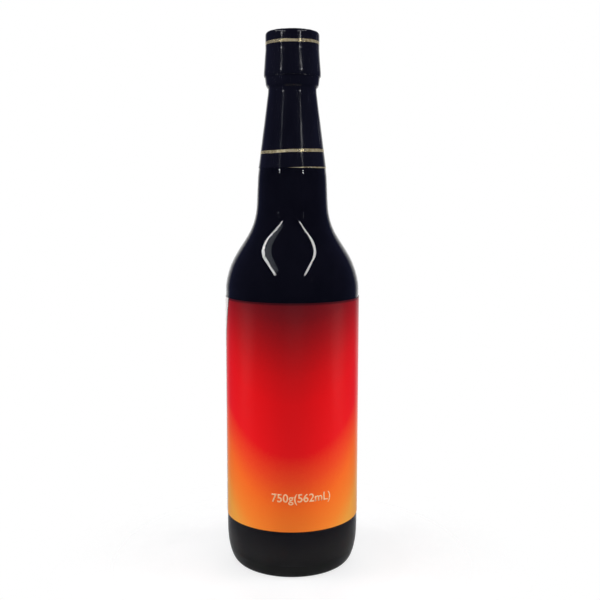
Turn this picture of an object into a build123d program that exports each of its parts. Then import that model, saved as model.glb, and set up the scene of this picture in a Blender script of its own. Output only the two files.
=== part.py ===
"""Soy sauce bottle: a clear glass long-neck bottle, filled, capped, sleeved and labelled.

The bottle stands on its foot ring with its axis on +Z and its front towards -Y.
The origin is the middle of the foot, at the surface that the bottle stands on.
Heights run up from there, and every size is in millimetres.
"""

from build123d import *
from math import atan2, cos, degrees, radians, tan
import os

os.makedirs("parts", exist_ok=True)

# ---- Bottle, outside -------------------------------------------------------------------
body_radius = 35.4
heel_height = 19.3  # the wall draws in from here down to the foot
heel_draw_in = 5.6
foot_ring_width = 4.0  # the ring that the bottle stands on
punt_height = 3.4  # how far the underside is pushed up in the middle
body_height = 157.5  # up to the corner where the wall meets the slope of the shoulder
shoulder_rise = 26.0  # from there to the corner where the slope meets the neck
shoulder_rounding = 43.0
neck_radius = 19.05
neck_root_rounding = 32.3
neck_base_length = 23.9  # from the neck's root to where it starts to narrow faster
neck_waist_radius = 18.15
neck_waist_rounding = 90.0
neck_upper_length = 43.1  # from there to the straight glass that takes the cap
finish_radius = 12.45
finish_rounding = 20.0
finish_free_length = 3.5  # straight glass that shows below the cap's band
lip_rounding = 0.9

# ---- Bottle, inside --------------------------------------------------------------------
wall = 3.3
base_thickness = 4.6
inner_heel_rounding = 9.0

# ---- Sauce -----------------------------------------------------------------------------
level_above_hem = 21.0  # the sleeve hides the level
sauce_clearance = 0.1

# ---- Cap -------------------------------------------------------------------------------
cap_plate = 1.7
cap_running_gap = 0.3  # between the skirt and the glass
cap_skirt_length = 22.5
cap_wall = 1.05  # at the top of the skirt
cap_flare = 0.8  # how much wider the skirt's rim is than its top
cap_rim_length = 2.2
cap_flare_length = 11.0
cap_edge_rounding = 1.6
band_length = 4.5  # tamper band that stays on the neck
band_wall = 0.9
band_flare = 0.4
band_groove = 0.5  # thin bridge between the band and the skirt
band_groove_wall = 0.7

# ---- Shrink sleeve over the cap and the neck -------------------------------------------
sleeve_gap = 0.05
sleeve_thickness = 0.15
hem_above_waist = 4.3
sleeve_opening_radius = 8.0  # the film folds in over the cap and leaves this open
sleeve_bridge = 1.6  # height of the film's slope from the neck out to the band
film_bend = 0.8  # rounding where the film bridges a step

# ---- Labels ----------------------------------------------------------------------------
label_gap = 0.05
label_thickness = 0.15
label_bottom_margin = 7.2  # above the heel
label_top_margin = 0.5  # below the start of the shoulder
label_seam = 1.4  # bare glass between the two labels
front_left_angle = -78.0  # edges of the front label, turned about +Z from the front
front_right_angle = 100.0
cut_back_angle = -67.0  # the upper left corner slants in to here
cut_back_drop = 23.0

# ---- Heights that follow, from the foot up ---------------------------------------------
neck_root_height = body_height + shoulder_rise
neck_waist_height = neck_root_height + neck_base_length
finish_height = neck_waist_height + neck_upper_length
band_bottom = finish_height + finish_free_length
skirt_bottom = band_bottom + band_length
cap_top = skirt_bottom + cap_skirt_length
mouth_height = cap_top - cap_plate
hem_height = neck_waist_height + hem_above_waist
sauce_level = hem_height + level_above_hem

# ---- Radii that follow -----------------------------------------------------------------
foot_radius = body_radius - heel_draw_in
punt_radius = foot_radius - foot_ring_width
cap_bore_radius = finish_radius + cap_running_gap
skirt_top_radius = cap_bore_radius + cap_wall
skirt_rim_radius = skirt_top_radius + cap_flare
band_radius = cap_bore_radius + band_wall


def radius_between(low, high, height):
    """Radius at a height on the straight line between two (radius, height) corners."""
    share = (height - low[1]) / (high[1] - low[1])
    return low[0] + share * (high[0] - low[0])


def wall_corners(inset):
    """Corners of the bottle's wall from the shoulder to the mouth, moved in by inset."""
    return [
        (body_radius - inset, body_height),
        (neck_radius - inset, neck_root_height),
        (neck_waist_radius - inset, neck_waist_height),
        (finish_radius - inset, finish_height),
        (finish_radius - inset, mouth_height),
    ]


def wall_roundings(inset):
    """Roundings of those corners but the last, kept concentric with the outside."""
    return [
        shoulder_rounding - inset,
        neck_root_rounding + inset,
        neck_waist_rounding - inset,
        finish_rounding + inset,
    ]


def inside_line(inset):
    """Outline of the hollow from its floor to the mouth, where inset counts from outside."""
    floor_edge = (body_radius - inset, base_thickness + inset - wall)
    floor_middle = (0.0, floor_edge[1] + punt_height)
    return FilletPolyline(
        floor_middle,
        floor_edge,
        *wall_corners(inset),
        radius=[inner_heel_rounding, *wall_roundings(inset)],
    )


# The glass, in one piece from the foot to the lip.
with BuildPart() as glass:
    with BuildSketch(Plane.XZ):
        with BuildLine():
            punt = TangentArc((0.0, punt_height), (punt_radius, 0.0), tangent=(1.0, 0.0))
            foot = Line(punt @ 1, (foot_radius, 0.0))
            EllipticalCenterArc(
                (foot_radius, heel_height),
                heel_draw_in,
                heel_height,
                start_angle=270,
                arc_size=90,
            )
            outside = FilletPolyline(
                (body_radius, heel_height),
                *wall_corners(0.0),
                radius=wall_roundings(0.0),
            )
            inside = inside_line(wall)
            Line(outside @ 1, inside @ 1)
            Line(inside @ 0, punt @ 0)
        make_face()
    revolve(axis=Axis.Z)
    lip = glass.edges().filter_by(GeomType.CIRCLE).group_by(Axis.Z)[-1]
    fillet(lip, radius=lip_rounding)
glass.part.label = "glass"
export_step(glass.part, "parts/glass.step")

# The sauce fills the hollow up to its level.
with BuildPart() as sauce:
    with BuildSketch(Plane.XZ):
        with BuildLine():
            surface = inside_line(wall + sauce_clearance)
            top = Line(surface @ 1, (0.0, mouth_height))
            Line(top @ 1, surface @ 0)
        make_face()
    revolve(axis=Axis.Z)
    split(bisect_by=Plane.XY.offset(sauce_level), keep=Keep.BOTTOM)
sauce.part.label = "sauce"
export_step(sauce.part, "parts/sauce.step")


def cap_corners():
    """Outside of the cap from the band's lower edge to the top of the skirt."""
    return [
        (band_radius, band_bottom),
        (band_radius + band_flare, skirt_bottom - band_groove),
        (skirt_rim_radius, skirt_bottom),
        (skirt_rim_radius, skirt_bottom + cap_rim_length),
        (skirt_top_radius, skirt_bottom + cap_rim_length + cap_flare_length),
        (skirt_top_radius, cap_top),
    ]


# The screw cap: its plate closes the mouth, and its tamper band hangs below the skirt.
with BuildPart() as cap:
    with BuildSketch(Plane.XZ):
        with BuildLine():
            band_low, band_high, rim_low, rim_high, flare_end, edge = cap_corners()
            groove_radius = cap_bore_radius + band_groove_wall
            Polyline(
                (0.0, mouth_height),
                (cap_bore_radius, mouth_height),
                (cap_bore_radius, band_bottom),
                band_low,
                band_high,
                (groove_radius, band_high[1]),
                (groove_radius, rim_low[1]),
                rim_low,
                rim_high,
                flare_end,
                edge,
                (0.0, cap_top),
                close=True,
            )
        make_face()
    revolve(axis=Axis.Z)
    fillet(cap.edges().group_by(Axis.Z)[-1], radius=cap_edge_rounding)
cap.part.label = "cap"
export_step(cap.part, "parts/cap.step")


def film_line(stand_off):
    """One face of the sleeve's film, stand_off away from the glass and the cap.

    It follows the neck up from the hem, bridges the step under the cap, hugs the cap and
    folds in over its top. Each bend is rounded, and turns in (1) or out (-1).
    """
    band_low, band_high, rim_low, rim_high, flare_end, edge = cap_corners()
    neck_low = wall_corners(0.0)[2]
    neck_high = wall_corners(0.0)[3]
    hem_radius = radius_between(neck_low, neck_high, hem_height)
    bends = [
        (*neck_high, finish_rounding, -1),
        (finish_radius, band_bottom - sleeve_bridge, film_bend, -1),
        (*band_low, film_bend, 1),
        (*band_high, film_bend / 2, -1),
        (*rim_low, film_bend / 2, 1),
        (*rim_high, cap_flare_length, 1),
        (*flare_end, cap_flare_length, -1),
    ]
    points = [(radius + stand_off, height) for radius, height, _, _ in bends]
    roundings = [rounding + turn * stand_off for _, _, rounding, turn in bends]
    top = cap_top + stand_off
    return FilletPolyline(
        (hem_radius + stand_off, hem_height),
        *points,
        (edge[0] + stand_off, top),
        (sleeve_opening_radius, top),
        radius=[*roundings, cap_edge_rounding + stand_off],
    )


# The shrink sleeve, one skin of film.
with BuildPart() as sleeve:
    with BuildSketch(Plane.XZ):
        with BuildLine():
            film_inside = film_line(sleeve_gap)
            film_outside = film_line(sleeve_gap + sleeve_thickness)
            Line(film_inside @ 0, film_outside @ 0)
            Line(film_inside @ 1, film_outside @ 1)
        make_face()
    revolve(axis=Axis.Z)
sleeve.part.label = "sleeve"
export_step(sleeve.part, "parts/sleeve.step")

# ---- Labels, as they lie round the wall ------------------------------------------------
label_radius = body_radius + label_gap
label_bottom = heel_height + label_bottom_margin
shoulder_slope = atan2(body_radius - neck_radius, shoulder_rise)
shoulder_start = body_height - shoulder_rounding * tan(shoulder_slope / 2)
label_top = shoulder_start - label_top_margin
seam_turn = degrees(label_seam / label_radius)


def depth_at(angle):
    """How far in front of (-) or behind (+) the axis the wall lies, at a turn from the front."""
    return -label_radius * cos(radians(angle))


def label_blank(left_angle, right_angle):
    """A sheet of label paper round the wall, between two turns from the front."""
    with BuildSketch(Plane.XZ.rotated((0, 0, left_angle - 90.0))) as section:
        with Locations((label_radius, label_bottom)):
            Rectangle(label_thickness, label_top - label_bottom, align=Align.MIN)
    revolve(section.sketch, axis=Axis.Z, revolution_arc=right_angle - left_angle)


def beyond_slant(shift, side):
    """Outline, seen from the left, of all that lies beyond the slanted edge on one side.

    The edge slants from cut_back_angle at the label's top to front_left_angle where it has
    dropped by cut_back_drop, and runs straight down from there. shift turns it on round
    the wall, and side is 1 for what lies behind the edge and -1 for what lies before it.
    """
    edge_top = depth_at(cut_back_angle + shift)
    edge_low = depth_at(front_left_angle + shift)
    beyond = side * 2 * label_radius
    Polyline(
        (edge_top, label_top),
        (edge_low, label_top - cut_back_drop),
        (edge_low, label_bottom),
        (beyond, label_bottom),
        (beyond, label_top),
        close=True,
    )


# The front label runs from the slanted edge round past the right-hand side.
with BuildPart() as label_front:
    label_blank(front_left_angle, front_right_angle)
    with BuildSketch(Plane.YZ):
        with BuildLine():
            beyond_slant(0.0, 1)
        make_face()
    extrude(amount=-2 * label_radius, mode=Mode.SUBTRACT)
label_front.part.label = "label_front"
export_step(label_front.part, "parts/label_front.step")

# The back label fills the rest of the way round, a seam's width clear of it at both sides.
with BuildPart() as label_back:
    label_blank(front_right_angle + seam_turn, cut_back_angle - seam_turn + 360.0)
    with BuildSketch(Plane.YZ):
        with BuildLine():
            beyond_slant(-seam_turn, -1)
        make_face()
    extrude(amount=-2 * label_radius, mode=Mode.SUBTRACT)
label_back.part.label = "label_back"
export_step(label_back.part, "parts/label_back.step")

print("contents, mL:", round(sauce.part.volume / 1000, 1))
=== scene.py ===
"""Looks of the soy sauce bottle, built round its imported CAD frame.

Lengths are in metres, in the frame's axes: the bottle stands on z = 0 with its axis on +Z
and its front towards -Y. The cap and the labels are the CAD nodes themselves with their
finish. The glass, the sauce and the shrink sleeve are replaced by finer pieces.
"""

import math

import bmesh
import bpy
from mathutils import Matrix, Vector, noise


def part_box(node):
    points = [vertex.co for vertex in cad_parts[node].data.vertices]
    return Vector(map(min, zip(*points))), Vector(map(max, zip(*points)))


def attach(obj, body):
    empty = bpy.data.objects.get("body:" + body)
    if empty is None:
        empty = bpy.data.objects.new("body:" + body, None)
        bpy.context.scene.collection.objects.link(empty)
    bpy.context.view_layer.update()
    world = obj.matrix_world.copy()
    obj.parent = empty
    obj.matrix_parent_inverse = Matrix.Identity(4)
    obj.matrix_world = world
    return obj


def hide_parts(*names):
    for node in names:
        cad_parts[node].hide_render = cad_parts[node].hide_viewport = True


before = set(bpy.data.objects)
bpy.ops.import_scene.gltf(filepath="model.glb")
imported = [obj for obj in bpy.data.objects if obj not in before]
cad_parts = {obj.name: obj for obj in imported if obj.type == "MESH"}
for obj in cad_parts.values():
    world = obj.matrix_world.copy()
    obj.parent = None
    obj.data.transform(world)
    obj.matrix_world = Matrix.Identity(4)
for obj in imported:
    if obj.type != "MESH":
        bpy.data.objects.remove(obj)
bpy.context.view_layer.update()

MM = 0.001
SEED = 7.3  # where in the noise field the film's creases are read

# ---- Sizes and places taken from the frame ---------------------------------------------
LABEL_LOW, LABEL_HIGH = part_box("label_front")
SLEEVE_LOW, SLEEVE_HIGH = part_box("sleeve")
LABEL_RADIUS = LABEL_HIGH.x
HEM = SLEEVE_LOW.z
BAND_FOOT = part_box("cap")[0].z  # lower edge of the cap's tamper band

# ---- Glass -----------------------------------------------------------------------------
GLASS_TURNS = 192  # faces round the bottle
GLASS_STEP = 1.0 * MM  # spacing of its rows outside
GLASS_EASE = 3.0 * MM  # reach over which its outer bends run into each other
EASE_STOP = 4.0 * MM  # how far under the sleeve's hem the easing has died away
EASE_FADE = 10.0 * MM  # and over what height it does so
HEEL_TOP = 20.0 * MM  # where the wall starts, above the heel
PUNT_TOP = 4.0 * MM  # all glass below this is the underside or the heel
TOUCHING = 0.01 * MM  # glass lower than this stands on the floor
GLASS_TINT = 110.0  # absorption per metre, which takes over a quarter of the light at each wall
SWELL = 0.33 * MM  # how much fuller than the CAD solid the shoulder is drawn
# Heights above the label between which that swell grows, and those where it dies away.
SWELL_GROWS = (0.5 * MM, 7.0 * MM)
SWELL_FADES = (19.5 * MM, 35.5 * MM)

# ---- Sauce -----------------------------------------------------------------------------
SAUCE_BITE = 0.35 * MM  # how far the sauce reaches out past the CAD solid, into the glass
SAUCE_TURNS = 192
SAUCE_STEP = 1.5 * MM
# The sauce's surface climbs the glass: by how much, over what reach, and where it has points.
CLIMB = 1.2 * MM
CLIMB_REACH = 0.9 * MM
CLIMB_POINTS = [0.4 * MM, 0.9 * MM, 1.8 * MM, 3.2 * MM, 5.0 * MM]

# ---- Sleeve ----------------------------------------------------------------------------
FILM = 0.10 * MM
SLEEVE_TURNS = 224
SLEEVE_STEP = 0.55 * MM
# Relief of the shrunk film in millimetres: how high it stands and how far it reaches.
SLOW_RELIEF = 0.055
DRAWN_RELIEF = 0.035
PLEAT_RELIEF, PLEAT_REACH = 0.20, 2.4
GATHER_RELIEF, GATHER_REACH = 0.09, 1.7
HEM_LIFT, HEM_WAVE, HEM_REACH = 0.03, 0.02, 0.5
WELD_RELIEF, WELD_REACH = 0.09, 0.7
WELD_TURN = math.radians(75.0)  # turn of the welded seam from +X, towards the back
# Printed stripes: height where they cross the middle, width, and rise towards +X.
STRIPES = [
    (HEM + 8.6 * MM, 1.45 * MM, 0.036),
    (SLEEVE_HIGH.z - 6.0 * MM, 1.35 * MM, 0.008),
    (HEM - 0.55 * MM, 1.3 * MM, 0.036),  # cut off by the hem but for its right-hand end
]

# ---- Printed weight --------------------------------------------------------------------
WEIGHT_TEXT = "750g(562mL)"
WEIGHT_HEIGHT = 4.3 * MM
WEIGHT_WIDTH = 31.5 * MM
WEIGHT_MIDDLE = math.radians(8.6)  # turn from the front, towards +X
WEIGHT_ABOVE_LABEL_EDGE = 15.9 * MM  # foot of the figures above the label's lower edge
INK = 0.012 * MM
WEIGHT_CUTS = 60  # strips that it is cut into, to bend round the label

# ---- Front label's print ---------------------------------------------------------------
# Height of each colour above the label's lower edge, at the front, in millimetres. The
# sides reach below 0, because the bands of colour hang lower there.
PRINT_STOPS = [
    (-20.0, (238, 160, 62)),
    (-5.0, (250, 134, 46)),
    (12.0, (254, 112, 38)),
    (26.0, (248, 76, 36)),
    (40.0, (240, 24, 28)),
    (66.0, (232, 18, 23)),
    (80.0, (212, 18, 22)),
    (97.0, (166, 18, 22)),
    (109.0, (126, 19, 24)),
    (118.0, (98, 20, 26)),
]
PRINT_FOOT = PRINT_STOPS[0][0] * MM
PRINT_TOP = PRINT_STOPS[-1][0] * MM
BOWL_DROP = 24.0 * MM  # how far the bands sag, for each square radian of turn
BOWL_FLATTENING = 0.55  # share of that sag that is gone at the label's top
TOP_DARKENING = (1.3 * MM, 0.7 * MM)  # depths under the top edge where the label starts to darken and where it is darkest
GRAIN = 5.0 * MM  # how far the print's dots carry each colour up and down

# ---- Stage -----------------------------------------------------------------------------
FLOOR_RADIUS = 0.3
FLOOR_FADE = (0.06, 0.13)  # distances from the axis between which the floor thins out
FLOOR_GLOW = 0.68  # light that it adds for the camera alone, to look white
CAMERA_PLACE = (4.05 * MM, -465.7 * MM, 200.3 * MM)
CAMERA_DIP = 7.14  # degrees below level
CAMERA_LEAN = -0.09  # degrees
CAMERA_LENS = 52.56  # millimetres, for a frame 36 mm wide
MIRRORED_DIM = (0.045, 0.050, 0.115, 1.0)  # what gloss shows of the room before the object
MIRRORED_WHITE = (0.72, 0.98)  # backward part of a direction where it turns to white
ROOM_LIGHT = (0.12, 0.12, 0.125, 1.0)
WHITE = (1.0, 1.0, 1.0, 1.0)


# ---- Node helpers ----------------------------------------------------------------------
def colour(red, green, blue):
    """Linear colour with alpha from the sRGB values, 0 to 255, that it should render as."""
    def linear(value):
        value /= 255.0
        return value / 12.92 if value <= 0.04045 else ((value + 0.055) / 1.055) ** 2.4

    return (linear(red), linear(green), linear(blue), 1.0)


class Material:
    """A node material with short calls for the nodes that this script uses."""

    def __init__(self, name):
        self.data = bpy.data.materials.new(name)
        self.data.use_nodes = True
        self.nodes = self.data.node_tree.nodes
        self.links = self.data.node_tree.links
        self.shader = self.nodes["Principled BSDF"]

    def node(self, kind, **settings):
        made = self.nodes.new(kind)
        for key, value in settings.items():
            setattr(made, key, value)
        return made

    def join(self, source, target):
        self.links.new(source, target)

    def feed(self, target, value):
        """Links a socket, or sets a plain value."""
        if isinstance(value, bpy.types.NodeSocket):
            self.join(value, target)
        else:
            target.default_value = value

    def place(self):
        return self.node("ShaderNodeTexCoord").outputs["Object"]

    def axes(self, vector):
        made = self.node("ShaderNodeSeparateXYZ")
        self.join(vector, made.inputs[0])
        return made.outputs

    def math(self, operation, first, second=0.0, clamp=False):
        made = self.node("ShaderNodeMath", operation=operation, use_clamp=clamp)
        self.feed(made.inputs[0], first)
        self.feed(made.inputs[1], second)
        return made.outputs[0]

    def scaled(self, vector, x, y, z):
        made = self.node("ShaderNodeMapping")
        self.join(vector, made.inputs["Vector"])
        made.inputs["Scale"].default_value = (x, y, z)
        return made.outputs[0]

    def noise(self, vector, scale, detail=3.0, roughness=0.5):
        made = self.node("ShaderNodeTexNoise")
        self.join(vector, made.inputs["Vector"])
        made.inputs["Scale"].default_value = scale
        made.inputs["Detail"].default_value = detail
        made.inputs["Roughness"].default_value = roughness
        return made.outputs["Fac"]

    def spread(self, value, low, high, to_low, to_high):
        made = self.node("ShaderNodeMapRange")
        self.feed(made.inputs["Value"], value)
        for key, number in (("From Min", low), ("From Max", high), ("To Min", to_low), ("To Max", to_high)):
            made.inputs[key].default_value = number
        return made.outputs["Result"]

    def ramp(self, value, stops):
        made = self.node("ShaderNodeValToRGB")
        self.join(value, made.inputs[0])
        points = made.color_ramp.elements
        while len(points) < len(stops):
            points.new(0.5)
        for point, (where, shade) in zip(points, stops):
            point.position = where
            point.color = shade
        return made.outputs["Color"]

    def mix(self, share, first, second):
        made = self.node("ShaderNodeMix", data_type="RGBA")
        self.feed(made.inputs["Factor"], share)
        self.feed(made.inputs[6], first)
        self.feed(made.inputs[7], second)
        return made.outputs[2]

    def blend(self, share, first, second):
        """The same for plain numbers."""
        made = self.node("ShaderNodeMix", data_type="FLOAT")
        self.feed(made.inputs["Factor"], share)
        self.feed(made.inputs[2], first)
        self.feed(made.inputs[3], second)
        return made.outputs[0]

    def bump(self, height, strength, distance, under=None):
        made = self.node("ShaderNodeBump")
        made.inputs["Strength"].default_value = strength
        made.inputs["Distance"].default_value = distance
        self.join(height, made.inputs["Height"])
        if under is not None:
            self.join(under, made.inputs["Normal"])
        return made.outputs["Normal"]

    def set(self, **values):
        for key, value in values.items():
            self.feed(self.shader.inputs[key.replace("_", " ")], value)


# ---- Materials -------------------------------------------------------------------------
def glass_material():
    """Glass with a smoky tint and the faint waviness of a blown wall."""
    made = Material("bottle_glass")
    place = made.place()
    waves = made.noise(made.scaled(place, 1.0, 1.0, 0.45), 38.0, detail=2.0)
    ripple = made.noise(place, 260.0, detail=2.0)
    soft = made.bump(waves, 0.20, 0.5 * MM)
    made.join(made.bump(ripple, 0.05, 0.1 * MM, under=soft), made.shader.inputs["Normal"])
    rough = made.spread(made.noise(place, 90.0), 0.3, 0.7, 0.01, 0.035)
    made.set(Base_Color=(0.95, 0.975, 0.97, 1.0), Roughness=rough, IOR=1.5, Transmission_Weight=1.0)
    tint = made.node("ShaderNodeVolumeAbsorption")
    tint.inputs["Color"].default_value = (0.10, 0.14, 0.20, 1.0)
    tint.inputs["Density"].default_value = GLASS_TINT
    made.join(tint.outputs[0], made.nodes["Material Output"].inputs["Volume"])
    return made.data


def sauce_material():
    """Dark soy sauce: nearly black, with a painted red-brown glow where it is seen at a slant, in place of
    light shining through the sauce where it is thin.
    """
    made = Material("dark_sauce")
    cloud = made.noise(made.place(), 60.0, detail=2.0)
    slant = made.node("ShaderNodeLayerWeight")
    slant.inputs["Blend"].default_value = 0.35
    deep = made.ramp(cloud, [(0.3, colour(13, 12, 18)), (0.7, colour(19, 17, 25))])
    # Painted glow: the colour turns red-brown towards a grazing view, standing in for light shining through
    # thin sauce.
    thin = made.mix(made.math("POWER", slant.outputs["Facing"], 6.0), deep, colour(28, 12, 12))
    made.set(Base_Color=thin, Roughness=0.35, Specular_IOR_Level=0.0)
    return made.data


def film_material():
    """Glossy black shrink film with a fine pebbled skin and pale gold printed stripes."""
    made = Material("black_film")
    place = made.place()
    x, _, z = made.axes(place)
    tone = made.noise(made.scaled(place, 1.0, 1.0, 0.3), 120.0)
    worn = made.noise(place, 620.0, detail=4.0, roughness=0.6)
    patch = made.noise(place, 150.0, detail=2.0)
    # The stripes wander a little, as print on shrunk film does.
    drift = made.math("SUBTRACT", made.noise(place, 110.0, detail=1.0), 0.5)
    wander = made.math("MULTIPLY", drift, 0.8 * MM)
    printed = 0.0
    for middle, width, rise in STRIPES:
        off = made.math("SUBTRACT", made.math("ADD", z, wander), middle)
        off = made.math("ABSOLUTE", made.math("SUBTRACT", off, made.math("MULTIPLY", x, rise)))
        edge = made.spread(off, width / 2 - 0.06 * MM, width / 2 + 0.06 * MM, 1.0, 0.0)
        printed = made.math("MAXIMUM", printed, edge)
    black = made.ramp(tone, [(0.35, colour(7, 7, 14)), (0.65, colour(12, 12, 21))])
    gold_stops = [(0.30, (160, 142, 98)), (0.50, (222, 206, 158)), (0.75, (240, 232, 198))]
    gold = made.ramp(worn, [(where, colour(*shade)) for where, shade in gold_stops])
    fine = made.noise(place, 900.0, detail=3.0)
    drawn = made.noise(made.scaled(place, 1.0, 1.0, 0.12), 320.0, detail=2.0)
    soft = made.bump(drawn, 0.10, 0.10 * MM)
    made.join(made.bump(fine, 0.06, 0.03 * MM, under=soft), made.shader.inputs["Normal"])
    film_rough = made.spread(tone, 0.3, 0.7, 0.07, 0.14)
    stripe_rough = made.spread(patch, 0.3, 0.7, 0.22, 0.38)
    rough = made.blend(printed, film_rough, stripe_rough)
    made.set(Base_Color=made.mix(printed, black, gold), Roughness=rough, IOR=1.5)
    made.set(Metallic=made.math("MULTIPLY", printed, 0.75))
    return made.data


def paper_finish(made, place):
    """Coated label paper: faint fibre relief under a thin varnish."""
    fibre = made.noise(made.scaled(place, 1.0, 1.0, 2.2), 1500.0, detail=4.0, roughness=0.65)
    cockle = made.noise(made.scaled(place, 1.0, 1.0, 0.5), 85.0, detail=2.0)
    soft = made.bump(cockle, 0.16, 0.25 * MM)
    made.join(made.bump(fibre, 0.10, 0.02 * MM, under=soft), made.shader.inputs["Normal"])
    made.set(Roughness=made.spread(fibre, 0.3, 0.7, 0.30, 0.40), Specular_IOR_Level=0.08)
    made.set(Coat_Weight=0.35, Coat_Roughness=0.2)


def front_label_material():
    """The printed front label: maroon at the top through red to orange at the foot.

    The print's bands sag at the sides like a bowl, so each point's colour is read from its
    height less a drop that grows with the square of its turn from the front.
    """
    made = Material("printed_label")
    place = made.place()
    x, y, z = made.axes(place)
    turn = made.math("ARCTAN2", x, made.math("MULTIPLY", y, -1.0))
    height = made.math("SUBTRACT", z, LABEL_LOW.z)
    tall = LABEL_HIGH.z - LABEL_LOW.z
    sag = made.spread(height, 0.0, tall, BOWL_DROP, BOWL_DROP * (1.0 - BOWL_FLATTENING))
    drop = made.math("MULTIPLY", made.math("MULTIPLY", turn, turn), sag)
    dots = made.math("SUBTRACT", made.noise(place, 900.0, detail=3.0), 0.5)
    grain = made.math("MULTIPLY", dots, GRAIN)
    level = made.math("ADD", made.math("SUBTRACT", height, drop), grain)
    span = PRINT_TOP - PRINT_FOOT
    share = made.math("DIVIDE", made.math("SUBTRACT", level, PRINT_FOOT), span, clamp=True)
    stops = [((where * MM - PRINT_FOOT) / span, colour(*shade)) for where, shade in PRINT_STOPS]
    print_colour = made.ramp(share, stops)
    # The label is darker towards its top edge.
    edge = made.spread(z, LABEL_HIGH.z - TOP_DARKENING[0], LABEL_HIGH.z - TOP_DARKENING[1], 0.0, 0.75)
    made.set(Base_Color=made.mix(edge, print_colour, colour(52, 12, 18)))
    paper_finish(made, place)
    return made.data


def back_label_material():
    """Plain off-white coated paper, with the faint tone of the stock."""
    made = Material("plain_label")
    place = made.place()
    tone = made.noise(place, 70.0, detail=5.0)
    stock = made.ramp(tone, [(0.35, colour(232, 222, 219)), (0.65, colour(241, 234, 231))])
    made.set(Base_Color=stock)
    paper_finish(made, place)
    return made.data


def ink_material():
    """Pale peach printing ink."""
    made = Material("pale_ink")
    place = made.place()
    patch = made.noise(place, 1400.0, detail=3.0)
    peach = made.ramp(patch, [(0.3, colour(250, 190, 140)), (0.65, colour(255, 214, 170))])
    made.set(Base_Color=peach)
    paper_finish(made, place)
    return made.data


def cap_material():
    """Black moulded polypropylene, fine sparked texture."""
    made = Material("moulded_cap")
    place = made.place()
    spark = made.noise(place, 2200.0, detail=2.0)
    tone = made.noise(place, 140.0)
    made.set(Base_Color=made.ramp(tone, [(0.3, colour(14, 14, 18)), (0.7, colour(22, 22, 26))]))
    made.join(made.bump(spark, 0.15, 0.03 * MM), made.shader.inputs["Normal"])
    made.set(Roughness=made.spread(tone, 0.3, 0.7, 0.30, 0.42), IOR=1.49)
    return made.data


def floor_material():
    """Plain pale floor: white to the camera but for the shadow, thinning out to the backdrop."""
    made = Material("pale_floor")
    x, y, _ = made.axes(made.place())
    squares = made.math("ADD", made.math("MULTIPLY", x, x), made.math("MULTIPLY", y, y))
    away = made.math("SQRT", squares)
    grain = made.noise(made.place(), 40.0)
    pale = made.ramp(grain, [(0.3, (0.37, 0.37, 0.375, 1.0)), (0.7, (0.40, 0.40, 0.405, 1.0))])
    made.set(Base_Color=pale)
    made.set(Roughness=0.9, Specular_IOR_Level=0.0)
    made.set(Alpha=made.spread(away, *FLOOR_FADE, 1.0, 0.0))
    made.set(Emission_Color=WHITE)
    seen = made.node("ShaderNodeLightPath").outputs["Is Camera Ray"]
    made.set(Emission_Strength=made.math("MULTIPLY", seen, FLOOR_GLOW))
    return made.data


# ---- Lathe outlines read from the CAD meshes -------------------------------------------
def outline(node, order, facing):
    """(radius, height) points along one skin of a round CAD node.

    facing picks the faces by their normal's radial and upward parts and by their height,
    and order gives the value that grows along the skin.
    """
    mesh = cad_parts[node].data
    found = {}
    for face in mesh.polygons:
        middle = Vector((face.center.x, face.center.y))
        if middle.length < 1e-6:
            continue
        radial = middle.normalized().dot(Vector((face.normal.x, face.normal.y)))
        if not facing(radial, face.normal.z, face.center.z):
            continue
        for index in face.vertices:
            spot = mesh.vertices[index].co
            radius = math.hypot(spot.x, spot.y)
            found[(round(radius, 5), round(spot.z, 5))] = (radius, spot.z)
    return sorted(found.values(), key=order)


def spaced(points, step):
    """The outline again, with points about step apart."""
    lengths = [0.0]
    for before, after in zip(points, points[1:]):
        lengths.append(lengths[-1] + math.dist(before, after))

    def at(length):
        for i in range(1, len(points)):
            if lengths[i] >= length:
                share = (length - lengths[i - 1]) / max(lengths[i] - lengths[i - 1], 1e-9)
                return tuple(a + share * (b - a) for a, b in zip(points[i - 1], points[i]))
        return points[-1]

    count = max(2, round(lengths[-1] / step))
    return [at(lengths[-1] * i / count) for i in range(count + 1)]


def eased(points, reach, share_at):
    """The outline with its bends run into each other over reach, by a share of 0 to 1."""
    result = []
    for point in points:
        share = share_at(point[1])
        if share <= 0.0:
            result.append(point)
            continue
        weights = [math.exp(-0.5 * (math.dist(point, other) / reach) ** 2) for other in points]
        total = sum(weights)
        soft = [sum(w * other[k] for w, other in zip(weights, points)) / total for k in (0, 1)]
        result.append((point[0] + share * (soft[0] - point[0]), point[1] + share * (soft[1] - point[1])))
    return result


def ramped(value, low, high):
    """0 below low and 1 above high, with a smooth step between."""
    share = min(max((value - low) / (high - low), 0.0), 1.0)
    return share * share * (3.0 - 2.0 * share)


def normals(rows):
    """Outward normal of each row's outline, as (radial, upward)."""
    result = []
    for i in range(len(rows)):
        before = rows[max(i - 1, 0)]
        after = rows[min(i + 1, len(rows) - 1)]
        along = Vector((after[0] - before[0], after[1] - before[1])).normalized()
        result.append((along.y, -along.x))
    return result


def mesh_object(name, vertices, faces, material):
    """A smooth mesh with its real edges kept sharp."""
    mesh = bpy.data.meshes.new(name)
    mesh.from_pydata(vertices, [], faces)
    mesh.materials.append(material)
    mesh.update()
    mesh.polygons.foreach_set("use_smooth", [True] * len(mesh.polygons))
    mesh.set_sharp_from_angle(angle=math.radians(38.0))
    made = bpy.data.objects.new(name, mesh)
    bpy.context.scene.collection.objects.link(made)
    return made


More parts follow.
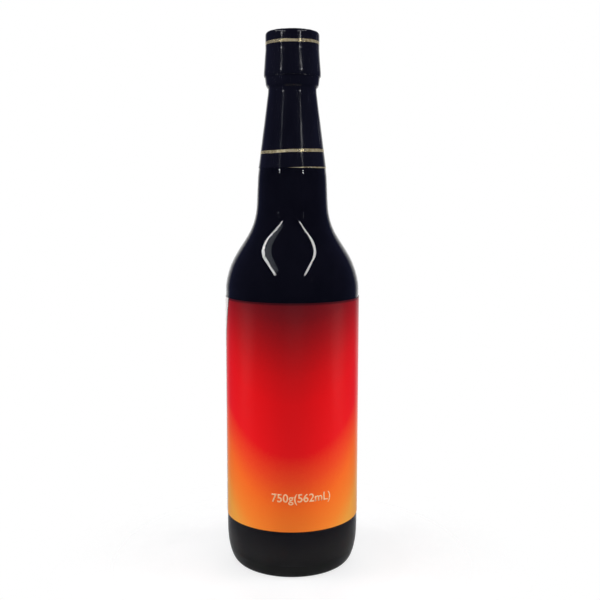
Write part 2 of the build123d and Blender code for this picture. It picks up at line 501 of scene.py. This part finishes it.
def lathe(name, rows, turns, material):
    """A closed solid of revolution, from its lowest to its highest point on the axis."""
    inside = rows[1:-1]
    vertices = [(0.0, 0.0, rows[0][1])]
    for radius, height in inside:
        for i in range(turns):
            turn = 2.0 * math.pi * i / turns
            vertices.append((radius * math.cos(turn), radius * math.sin(turn), height))
    vertices.append((0.0, 0.0, rows[-1][1]))
    last = len(vertices) - 1
    end = last - turns
    faces = []
    for i in range(turns):
        after = (i + 1) % turns
        faces.append((0, 1 + after, 1 + i))
        for row in range(len(inside) - 1):
            a = 1 + row * turns + i
            b = 1 + row * turns + after
            faces.append((a, b, b + turns, a + turns))
        faces.append((end + i, end + after, last))
    return mesh_object(name, vertices, faces, material)


# ---- Glass -----------------------------------------------------------------------------
def glass_piece():
    """The bottle's glass, with the CAD outline's bends eased as they are in blown glass."""
    def is_under(radial, up, z):
        return up < -0.5 and z < PUNT_TOP and radial < 0.5

    def is_outside(radial, up, z):
        return radial > 0.02 and not (up > 0.9 and z < HEEL_TOP)

    def is_inside(radial, up, z):
        return radial < -0.02 and z > PUNT_TOP

    def is_floor(radial, up, z):
        return up > 0.9 and z < HEEL_TOP

    under = outline("glass", lambda p: p[0], is_under)
    reach = under[-1][0]
    under = [p for p in under if p[1] < PUNT_TOP and (p[0] < 0.98 * reach or p[1] < TOUCHING)]
    outside = outline("glass", lambda p: p[1], is_outside)
    inside = outline("glass", lambda p: p[1], is_inside)
    floor = outline("glass", lambda p: p[0], is_floor)

    def wall_share(height):
        stop = HEM - EASE_STOP
        return ramped(height, 0.5 * HEEL_TOP, HEEL_TOP) * (1.0 - ramped(height, stop - EASE_FADE, stop))

    def swelling(height):
        above = height - LABEL_HIGH.z
        return ramped(above, *SWELL_GROWS) * (1.0 - ramped(above, *SWELL_FADES))

    low = [p for p in outside if TOUCHING < p[1] < 0.5 * HEEL_TOP]
    wall = [p for p in outside if 0.5 * HEEL_TOP <= p[1] <= HEM]
    high = [p for p in outside if p[1] > HEM]
    wall = [
        (radius + SWELL * swelling(height), height)
        for radius, height in eased(spaced(wall, GLASS_STEP), GLASS_EASE, wall_share)
    ]
    hollow = spaced([p for p in inside if p[1] < HEM], 2.0 * GLASS_STEP)
    hollow += [p for p in inside if p[1] >= HEM]
    path = [(0.0, under[0][1])] + [p for p in under if p[0] > 1.0 * MM]
    path += low + wall + high
    path += hollow[::-1] + [(0.0, floor[0][1])]
    return lathe("bottle_glass", path, GLASS_TURNS, glass_material())


# ---- Sauce -----------------------------------------------------------------------------
def sauce_piece():
    """The sauce, grown just into the glass so that no air shows between them."""
    skin = outline("sauce", lambda p: p[0] + p[1], lambda radial, up, z: radial > 0.25 or up < -0.5)
    wall = spaced(skin, SAUCE_STEP)
    grown = [
        (radius + out * SAUCE_BITE, height + up * SAUCE_BITE)
        for (radius, height), (out, up) in zip(wall, normals(wall))
    ]
    level = wall[-1][1]
    rows = [row for row in grown if row[0] > 0.5 * MM and row[1] < level - 0.5 * MM]
    rim = rows[-1][0]
    rows.append((rim, level))
    for back in CLIMB_POINTS:
        rows.append((rim - back, level - (1.0 - math.exp(-back / CLIMB_REACH)) * CLIMB))
    path = [(0.0, grown[0][1])] + rows + [(0.0, rows[-1][1])]
    return lathe("sauce_fill", path, SAUCE_TURNS, sauce_material())


# ---- Shrink sleeve ---------------------------------------------------------------------
def film_relief(turn, radius, height):
    """How far the shrunk film stands off its smooth outline at one spot."""
    around = Vector((math.cos(turn), math.sin(turn), 0.0))
    spot = around * 14.0 + Vector((0.0, 0.0, height / MM))
    slow = noise.noise(spot * 0.16 + Vector((SEED, 0.0, 0.0)))
    drawn = noise.noise(Vector((spot.x * 0.5, spot.y * 0.5, spot.z * 0.07 + SEED)))
    relief = SLOW_RELIEF * slow + DRAWN_RELIEF * drawn
    # Short pleats fan out where the film bridges from the neck to the cap.
    from_step = (height - BAND_FOOT) / MM + 0.6
    pleats = noise.noise(Vector((around.x * 4.2, around.y * 4.2, SEED + 0.05 * from_step)))
    relief += PLEAT_RELIEF * pleats * math.exp(-(from_step / PLEAT_REACH) ** 2)
    # Fine gathers ride over the cap's top edge.
    from_top = (SLEEVE_HIGH.z - height) / MM
    gathers = noise.noise(Vector((around.x * 6.5, around.y * 6.5, SEED + 9.0)))
    relief += GATHER_RELIEF * (gathers - 0.6) * math.exp(-(from_top / GATHER_REACH) ** 2)
    # The cut hem lifts a little.
    from_hem = (height - HEM) / MM
    relief += (HEM_LIFT + HEM_WAVE * slow) * math.exp(-(from_hem / HEM_REACH) ** 2)
    # A welded seam runs up the back.
    off_seam = (turn - WELD_TURN) * radius / MM
    relief += WELD_RELIEF * math.exp(-(off_seam / WELD_REACH) ** 4)
    return relief * MM


def sleeve_piece():
    """The black film with its printed stripes, as a closed skin."""
    skin = outline("sleeve", lambda p: p[1] - p[0], lambda radial, up, z: radial > 0.25 or up > 0.5)
    top = skin[-1][1]
    skin = [p for p in skin if p[1] > top - 1e-5 or p[0] > skin[-1][0] + 0.4 * MM]
    rows = spaced(skin, SLEEVE_STEP)
    slopes = normals(rows)
    vertices = []
    for depth in (0.0, FILM):
        for (radius, height), (out, up) in zip(rows, slopes):
            for i in range(SLEEVE_TURNS):
                turn = 2.0 * math.pi * i / SLEEVE_TURNS
                off = film_relief(turn, radius, height) - depth
                reach = radius + out * off
                z = min(height + up * off, SLEEVE_HIGH.z - depth)
                vertices.append((reach * math.cos(turn), reach * math.sin(turn), z))
    count = len(rows)
    inner = count * SLEEVE_TURNS
    faces = []
    for row in range(count - 1):
        for i in range(SLEEVE_TURNS):
            a = row * SLEEVE_TURNS + i
            b = row * SLEEVE_TURNS + (i + 1) % SLEEVE_TURNS
            outer_face = (a, b, b + SLEEVE_TURNS, a + SLEEVE_TURNS)
            faces.append(outer_face)
            faces.append(tuple(index + inner for index in outer_face[::-1]))
    for row in (0, count - 1):
        for i in range(SLEEVE_TURNS):
            a = row * SLEEVE_TURNS + i
            b = row * SLEEVE_TURNS + (i + 1) % SLEEVE_TURNS
            edge_face = (a, a + inner, b + inner, b)
            faces.append(edge_face if row == 0 else edge_face[::-1])
    return mesh_object("shrink_sleeve", vertices, faces, film_material())


# ---- Printed weight --------------------------------------------------------------------
def weight_piece():
    """The stated weight and volume, printed round the front label."""
    words = bpy.data.curves.new("weight_words", "FONT")
    words.body = WEIGHT_TEXT
    words.offset = 0.012
    words.resolution_u = 4
    holder = bpy.data.objects.new("weight_words", words)
    bpy.context.scene.collection.objects.link(holder)
    bpy.context.view_layer.update()
    drawn = holder.evaluated_get(bpy.context.evaluated_depsgraph_get())
    flat = bpy.data.meshes.new_from_object(drawn)
    bpy.data.objects.remove(holder)
    body = bmesh.new()
    body.from_mesh(flat)
    bpy.data.meshes.remove(flat)
    left = min(v.co.x for v in body.verts)
    right = max(v.co.x for v in body.verts)
    tall = max(v.co.y for v in body.verts if v.co.x < left + 0.25 * (right - left))
    for vertex in body.verts:
        vertex.co.x = (vertex.co.x - (left + right) / 2) / (right - left) * WEIGHT_WIDTH
        vertex.co.y = vertex.co.y / tall * WEIGHT_HEIGHT
    for i in range(1, WEIGHT_CUTS):
        at = (i / WEIGHT_CUTS - 0.5) * WEIGHT_WIDTH
        geometry = body.verts[:] + body.edges[:] + body.faces[:]
        bmesh.ops.bisect_plane(body, geom=geometry, plane_co=(at, 0, 0), plane_no=(1, 0, 0))
    for face in body.faces:
        if face.normal.z < 0:
            face.normal_flip()
    lifted = bmesh.ops.extrude_face_region(body, geom=body.faces[:], use_keep_orig=True)
    raised = {part for part in lifted["geom"] if isinstance(part, bmesh.types.BMVert)}
    for vertex in body.verts:
        vertex.co.z = INK if vertex in raised else -INK
    for face in body.faces:
        if all(v not in raised for v in face.verts):
            face.normal_flip()
    for vertex in body.verts:
        turn = WEIGHT_MIDDLE + vertex.co.x / LABEL_RADIUS
        radius = LABEL_RADIUS + vertex.co.z
        height = LABEL_LOW.z + WEIGHT_ABOVE_LABEL_EDGE + vertex.co.y
        vertex.co = Vector((radius * math.sin(turn), -radius * math.cos(turn), height))
    mesh = bpy.data.meshes.new("printed_weight")
    body.to_mesh(mesh)
    body.free()
    mesh.materials.append(ink_material())
    made = bpy.data.objects.new("printed_weight", mesh)
    bpy.context.scene.collection.objects.link(made)
    return made


# ---- Stage, camera and light -----------------------------------------------------------
def floor_piece():
    """A round floor, a hair under the bottle's foot."""
    made = bpy.data.meshes.new("floor")
    turns = 96
    ring = []
    for i in range(turns):
        turn = 2 * math.pi * i / turns
        ring.append((FLOOR_RADIUS * math.cos(turn), FLOOR_RADIUS * math.sin(turn), 0.0))
    made.from_pydata(ring, [], [tuple(range(turns))])
    made.materials.append(floor_material())
    floor = bpy.data.objects.new("floor", made)
    floor.location.z = -0.02 * MM
    bpy.context.scene.collection.objects.link(floor)
    return floor


def add_camera():
    """The viewing angle: level with the neck, tipped down, a little to the right."""
    data = bpy.data.cameras.new("camera")
    data.lens = CAMERA_LENS
    data.sensor_width = 36.0
    camera = bpy.data.objects.new("camera", data)
    camera.location = CAMERA_PLACE
    camera.rotation_euler = (math.radians(90.0 - CAMERA_DIP), math.radians(CAMERA_LEAN), 0.0)
    bpy.context.scene.collection.objects.link(camera)
    bpy.context.scene.camera = camera


def add_lamp(name, middle, aim, along, size, radiance, tint=(1.0, 1.0, 1.0), mirrored=True, spread=180.0):
    """A flat lamp of a given brightness and size, facing aim, its long side towards along.

    A spread under 180 degrees keeps its light, and its mirror image, close to aim.
    """
    wide, long = size
    data = bpy.data.lights.new(name, "AREA")
    data.shape = "RECTANGLE"
    data.size = wide
    data.size_y = long
    data.energy = radiance * math.pi * wide * long
    data.color = tint
    data.spread = math.radians(spread)
    if spread < 180.0:
        half = math.radians(spread) / 2
        data.energy *= 1.0 - half / math.tan(half)
    lamp = bpy.data.objects.new(name, data)
    back = (Vector(middle) - Vector(aim)).normalized()
    side = Vector(along).cross(back).normalized()
    length = back.cross(side)
    turn = Matrix((side, length, back)).transposed().to_4x4()
    lamp.matrix_world = Matrix.Translation(middle) @ turn
    lamp.visible_glossy = mirrored
    lamp.visible_transmission = mirrored
    bpy.context.scene.collection.objects.link(lamp)


def around(degrees, reach, height):
    """A place at a turn from the front, towards +X, and a distance from the axis."""
    turn = math.radians(degrees)
    return (reach * math.sin(turn), -reach * math.cos(turn), height)


def add_lamps():
    """Overhead strips and narrow panels that the gloss shows, and fills that it doesn't."""
    back = (0, 1, 0)
    up = (0, 0, 1)
    label = (0.0, 0.0, 0.10)
    shoulder = (0.0, 0.0, 0.16)
    low_neck = (0.0, 0.0, 0.224)
    neck = (0.0, 0.0, 0.238)
    high_neck = (0.0, 0.0, 0.262)
    cap = (0.0, 0.0, 0.268)
    cool = (0.86, 0.93, 1.0)
    # The two curves on the shoulder, and the haze inside the left-hand one.
    add_lamp("strip_left", (-0.76, -0.46, 0.96), shoulder, back, (0.065, 1.16), 13.0)
    add_lamp("strip_right", (0.58, -0.46, 0.96), shoulder, back, (0.055, 1.16), 13.0)
    add_lamp("strip_glow", (-0.63, -0.46, 0.97), shoulder, back, (0.15, 0.9), 0.9, tint=cool)
    # Spots on the cap and lines down the neck.
    left = around(-45.0, 1.2, 0.525)
    left_above = around(-43.0, 1.2, 0.645)
    add_lamp("panel_left", left, high_neck, up, (0.14, 0.095), 46.0, spread=4.4)
    add_lamp("tail_left", left_above, neck, up, (0.10, 0.087), 1.6, tint=cool, spread=6.0)
    right = around(36.0, 1.2, 0.525)
    right_above = around(36.0, 1.2, 0.672)
    right_between = around(36.0, 1.2, 0.609)
    add_lamp("panel_right", right, high_neck, up, (0.09, 0.095), 44.0, spread=4.4)
    add_lamp("tail_right", right_above, neck, up, (0.06, 0.083), 2.0, spread=6.0)
    add_lamp("spot_right", right_between, low_neck, up, (0.06, 0.032), 12.0, spread=4.0)
    add_lamp("kicker", around(128.0, 1.2, 0.48), cap, up, (0.12, 0.10), 1.6, spread=3.0)
    # Fills that light the labels and stay out of the gloss.
    for name, turn in (("side_fill_left", -84.0), ("side_fill_right", 84.0)):
        add_lamp(name, around(turn, 1.0, 0.30), label, up, (0.5, 0.9), 5.0, mirrored=False)
    add_lamp("front_fill", around(5.0, 1.2, 0.32), label, up, (0.6, 0.6), 4.5, mirrored=False)
    add_lamp("back_fill", around(180.0, 1.0, 0.40), label, up, (0.8, 0.8), 2.2, mirrored=False)


def add_world():
    """White for the camera; for reflections, white behind the object and dim before it."""
    world = bpy.data.worlds.new("studio")
    world.use_nodes = True
    bpy.context.scene.world = world
    nodes, links = world.node_tree.nodes, world.node_tree.links
    shell = nodes["Background"]

    def sum_of(first, second):
        made = nodes.new("ShaderNodeMath")
        made.operation = "ADD"
        made.use_clamp = True
        links.new(first, made.inputs[0])
        links.new(second, made.inputs[1])
        return made.outputs[0]

    def blend(share, first, second):
        made = nodes.new("ShaderNodeMix")
        made.data_type = "RGBA"
        links.new(share, made.inputs["Factor"])
        for socket, value in ((made.inputs[6], first), (made.inputs[7], second)):
            if isinstance(value, bpy.types.NodeSocket):
                links.new(value, socket)
            else:
                socket.default_value = value
        return made.outputs[2]

    path = nodes.new("ShaderNodeLightPath").outputs
    facing = nodes.new("ShaderNodeSeparateXYZ")
    links.new(nodes.new("ShaderNodeTexCoord").outputs["Generated"], facing.inputs[0])
    behind = nodes.new("ShaderNodeMapRange")
    behind.interpolation_type = "SMOOTHSTEP"
    links.new(facing.outputs["Y"], behind.inputs["Value"])
    behind.inputs["From Min"].default_value = MIRRORED_WHITE[0]
    behind.inputs["From Max"].default_value = MIRRORED_WHITE[1]
    mirrored = blend(behind.outputs["Result"], MIRRORED_DIM, WHITE)
    lit = blend(path["Is Glossy Ray"], ROOM_LIGHT, mirrored)
    seen = sum_of(path["Is Camera Ray"], path["Is Transmission Ray"])
    links.new(blend(seen, lit, WHITE), shell.inputs["Color"])
    shell.inputs["Strength"].default_value = 1.0


# ---- Put together ----------------------------------------------------------------------
def dress(node, material):
    """Gives a CAD node its finish."""
    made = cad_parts[node]
    made.data.materials.clear()
    made.data.materials.append(material)


dress("cap", cap_material())
dress("label_front", front_label_material())
dress("label_back", back_label_material())

glass = glass_piece()
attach(glass, "root")
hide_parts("glass")

sauce = sauce_piece()
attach(sauce, "root")
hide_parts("sauce")

sleeve = sleeve_piece()
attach(sleeve, "root")
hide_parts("sleeve")

weight = weight_piece()
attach(weight, "root")

floor_piece()
add_camera()
add_lamps()
add_world()
bpy.context.scene.view_settings.view_transform = "Standard"
